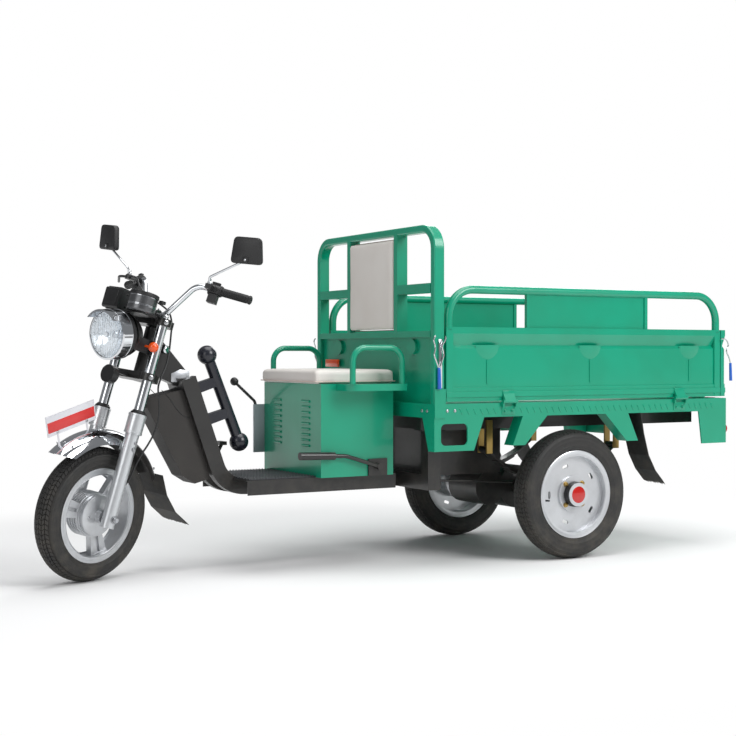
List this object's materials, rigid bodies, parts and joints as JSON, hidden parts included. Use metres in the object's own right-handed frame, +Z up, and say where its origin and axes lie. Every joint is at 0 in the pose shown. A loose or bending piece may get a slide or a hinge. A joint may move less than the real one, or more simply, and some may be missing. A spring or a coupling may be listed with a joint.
{
  "type": "electric cargo tricycle",
  "caption": "Electric cargo tricycle: motorcycle front end, driver's box with cushion, bulkhead, and a steel cargo bed with drop gates over a sprung rear axle.",
  "frame": {"origin": "on the ground under the middle of the vehicle's outline", "axes": "+X forward, +Y to the rider's left, +Z up"},
  "size_m": [2.9722, 0.992, 1.3468],
  "materials": {
    "green_paint": "glossy green enamel",
    "black_paint": "black enamel",
    "black_plastic": "moulded black plastic",
    "knee_bar_plastic": "blue black foam cover",
    "mat_rubber": "ribbed rubber",
    "flap_rubber": "thin flexible rubber",
    "cushion_vinyl": "pale grained vinyl",
    "chrome": "bright chrome",
    "cast_silver": "satin cast aluminium",
    "wheel_silver": "silver wheel paint",
    "tyre": "black tyre rubber",
    "lens_clear": "moulded clear lens",
    "lens_orange": "orange lens",
    "lens_red": "red lens",
    "plate_white": "white and red painted sheet",
    "gauge_metal": "brushed dark metal",
    "yellow_zinc": "yellow zinc plate",
    "cable_black": "cable sheath",
    "lever_grey": "grey plate and black rod"
  },
  "bodies": {
    "chassis": {"main_frame": "black_paint", "neck_cover": "black_plastic", "knee_bar": "knee_bar_plastic", "floor_plate": "black_paint", "floor_mat": "mat_rubber", "driver_box": "green_paint", "seat_tray": "green_paint", "seat_cushion": "cushion_vinyl", "arm_loops": "green_paint", "bulkhead_frame": "green_paint", "bulkhead_panel": "green_paint", "backrest": "cushion_vinyl", "bed_floor": "green_paint", "bed_sills": "green_paint", "gate_latches": "chrome", "bed_brackets": "green_paint", "tail_lamps": "lens_red", "battery_box": "black_paint", "rear_axle": "black_paint", "leaf_springs": "black_paint", "spring_shackles": "yellow_zinc", "gear_lever": "lever_grey", "brake_pedal": "black_paint", "parking_lever": "black_paint", "rear_flaps": "flap_rubber"},
    "steering": {"brake_plate": "cast_silver", "fork_sliders": "cast_silver", "fork_tubes": "chrome", "fork_yokes": "black_paint", "handlebar": "chrome", "handlebar_grips": "mat_rubber", "handlebar_controls": "black_plastic", "mirrors": "black_plastic", "headlamp_shell": "black_plastic", "headlamp_rim": "chrome", "headlamp_lens": "lens_clear", "horn": "black_plastic", "turn_signals": "lens_orange", "instrument_box": "black_plastic", "gauge": "gauge_metal", "front_fender": "chrome", "fender_rear": "black_plastic", "front_flap": "flap_rubber", "number_plate": "plate_white", "brake_cable": "cable_black"},
    "front_wheel": {"front_tyre": "tyre", "front_wheel": "cast_silver"},
    "rear_left_wheel": {"left_tyre": "tyre", "left_wheel": "wheel_silver"},
    "rear_right_wheel": {"right_tyre": "tyre", "right_wheel": "wheel_silver"},
    "left_gate": {"left_gate": "green_paint"},
    "right_gate": {"right_gate": "green_paint"},
    "tailgate": {"tailgate": "green_paint"}
  },
  "joints": [
    {"name": "steering", "type": "hinge", "parent": "chassis", "child": "steering", "pos_m": [1.21272, 0, 0.23697], "axis": [-0.284, 0, 0.9588], "range_deg": [-64, 16]},
    {"name": "front_wheel", "type": "hinge", "parent": "steering", "child": "front_wheel", "pos_m": [1.25213, 0.0183, 0.24865], "axis": [-0.39, 0.9135, -0.1155], "continuous": true},
    {"name": "rear_left_wheel", "type": "hinge", "parent": "chassis", "child": "rear_left_wheel", "pos_m": [-0.64114, 0.42, 0.263], "axis": [0, 1, 0], "continuous": true},
    {"name": "rear_right_wheel", "type": "hinge", "parent": "chassis", "child": "rear_right_wheel", "pos_m": [-0.64114, -0.42, 0.263], "axis": [0, 1, 0], "continuous": true},
    {"name": "left_gate", "type": "hinge", "parent": "chassis", "child": "left_gate", "pos_m": [-0.64114, 0.489, 0.648], "axis": [-1, 0, 0], "range_deg": [0, 180]},
    {"name": "right_gate", "type": "hinge", "parent": "chassis", "child": "right_gate", "pos_m": [-0.64114, -0.489, 0.648], "axis": [1, 0, 0], "range_deg": [0, 180]},
    {"name": "tailgate", "type": "hinge", "parent": "chassis", "child": "tailgate", "pos_m": [-1.47814, 0, 0.648], "axis": [0, -1, 0], "range_deg": [0, 180]}
  ]
}
